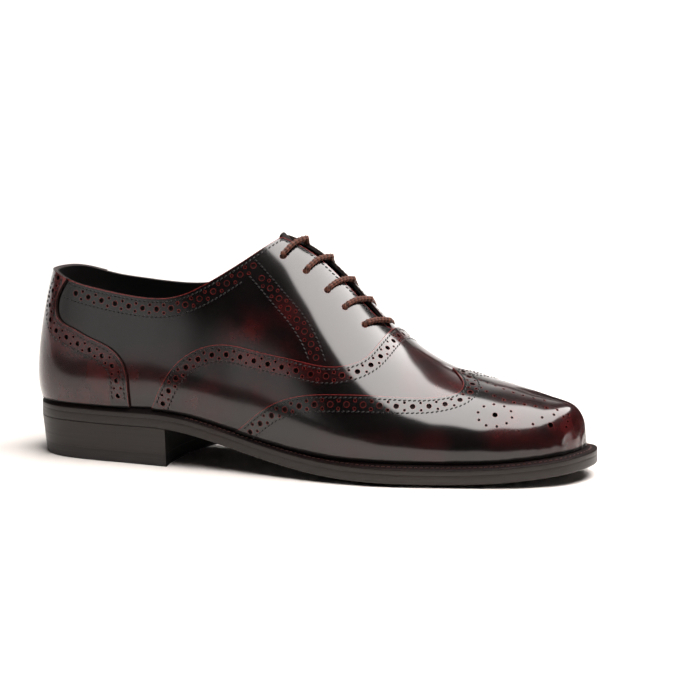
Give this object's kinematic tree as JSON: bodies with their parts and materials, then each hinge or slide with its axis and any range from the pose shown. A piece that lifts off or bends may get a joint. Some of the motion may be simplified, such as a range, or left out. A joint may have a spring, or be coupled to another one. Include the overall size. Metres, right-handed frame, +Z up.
{
  "type": "brogue shoe",
  "caption": "Wing-tip lace-up brogue for the right foot, hollow leather upper with overlays on a welted leather sole and stacked heel.",
  "frame": {"origin": "floor point under the middle of the shoe's box", "axes": "+X towards the toe, +Y towards the inner side of the right foot, +Z up from the floor"},
  "size_m": [0.2992, 0.1044, 0.1198],
  "materials": {
    "quarter_leather": "high-shine polished oxblood",
    "vamp_leather": "high-shine polished oxblood",
    "cap_leather": "high-shine polished oxblood",
    "counter_leather": "high-shine polished oxblood",
    "tongue_leather": "satin dark oxblood",
    "insole_leather": "matt black sock leather",
    "welt_leather": "satin near-black",
    "sole_leather": "satin dark brown edge dressing",
    "heel_leather": "satin dark brown stacked leather",
    "top_piece_rubber": "matt near-black",
    "lace_cord": "waxed round cord, red-brown"
  },
  "bodies": {
    "root": {"upper": "quarter_leather", "vamp": "vamp_leather", "wing_cap": "cap_leather", "heel_counter": "counter_leather", "tongue": "tongue_leather", "insole": "insole_leather", "welt": "welt_leather", "outsole": "sole_leather", "heel_block": "heel_leather", "heel_top_piece": "top_piece_rubber", "lace": "lace_cord"}
  },
  "joints": []
}
